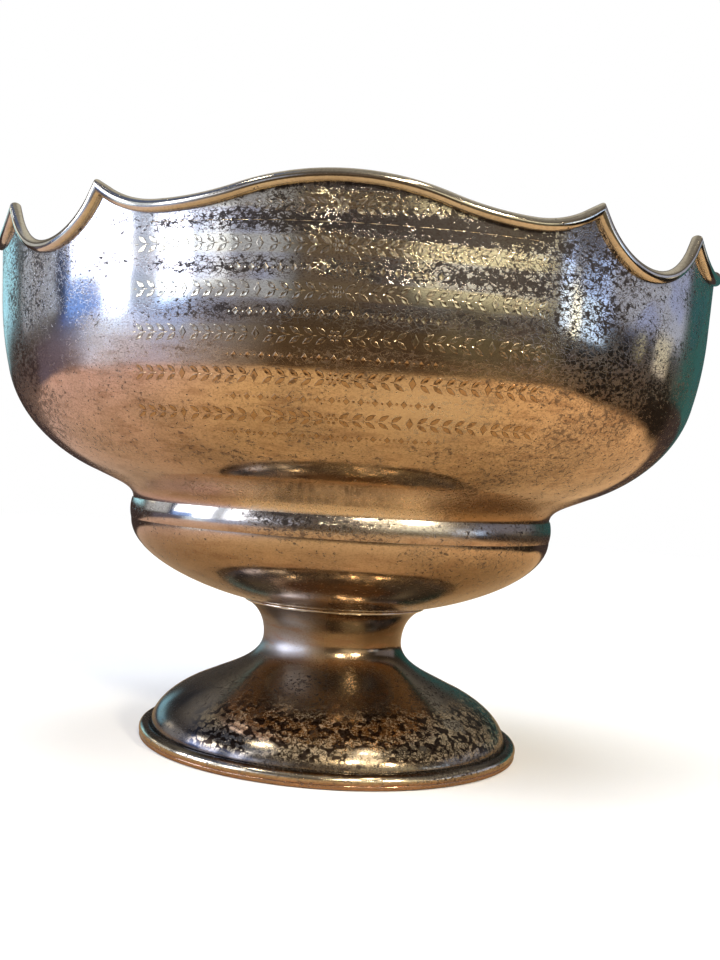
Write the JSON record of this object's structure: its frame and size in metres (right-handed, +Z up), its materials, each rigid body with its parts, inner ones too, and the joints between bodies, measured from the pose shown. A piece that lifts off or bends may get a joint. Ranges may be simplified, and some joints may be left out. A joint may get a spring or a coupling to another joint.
{
  "type": "cup trophy",
  "caption": "Footed presentation bowl with a scalloped rim, a banded waist and a domed foot, in tarnished sheet silver.",
  "frame": {"origin": "centre of the flat face under the foot, on the surface that the cup stands on", "axes": "+Z up along the axis of the bowl, -Y towards the middle of the front broad panel of the rim"},
  "size_m": [0.2308, 0.2308, 0.16],
  "materials": {
    "bowl_silver": "polished sheet silver, tarnished brown in patches",
    "wire_silver": "polished silver wire, handled bright on its edges",
    "foot_silver": "polished sheet silver with heavy black and brown tarnish",
    "foot_edge": "drawn silver wire, worn to a coppery tone on its lower edge",
    "stud_brass": "turned brass, dull",
    "washer_steel": "plain steel, dull"
  },
  "bodies": {
    "root": {"upper_bowl": "bowl_silver", "lower_bowl": "bowl_silver", "girdle_band": "bowl_silver", "collar_wire": "wire_silver", "foot_shell": "foot_silver", "foot_mount": "foot_edge", "bowl_stud": "stud_brass", "spreader_washer": "washer_steel", "spring_washer": "washer_steel", "stud_nut": "washer_steel", "rim_wire_broad_1": "wire_silver", "rim_wire_broad_2": "wire_silver", "rim_wire_broad_3": "wire_silver", "rim_wire_broad_4": "wire_silver", "rim_wire_narrow_1": "wire_silver", "rim_wire_narrow_2": "wire_silver", "rim_wire_narrow_3": "wire_silver", "rim_wire_narrow_4": "wire_silver"}
  },
  "joints": []
}
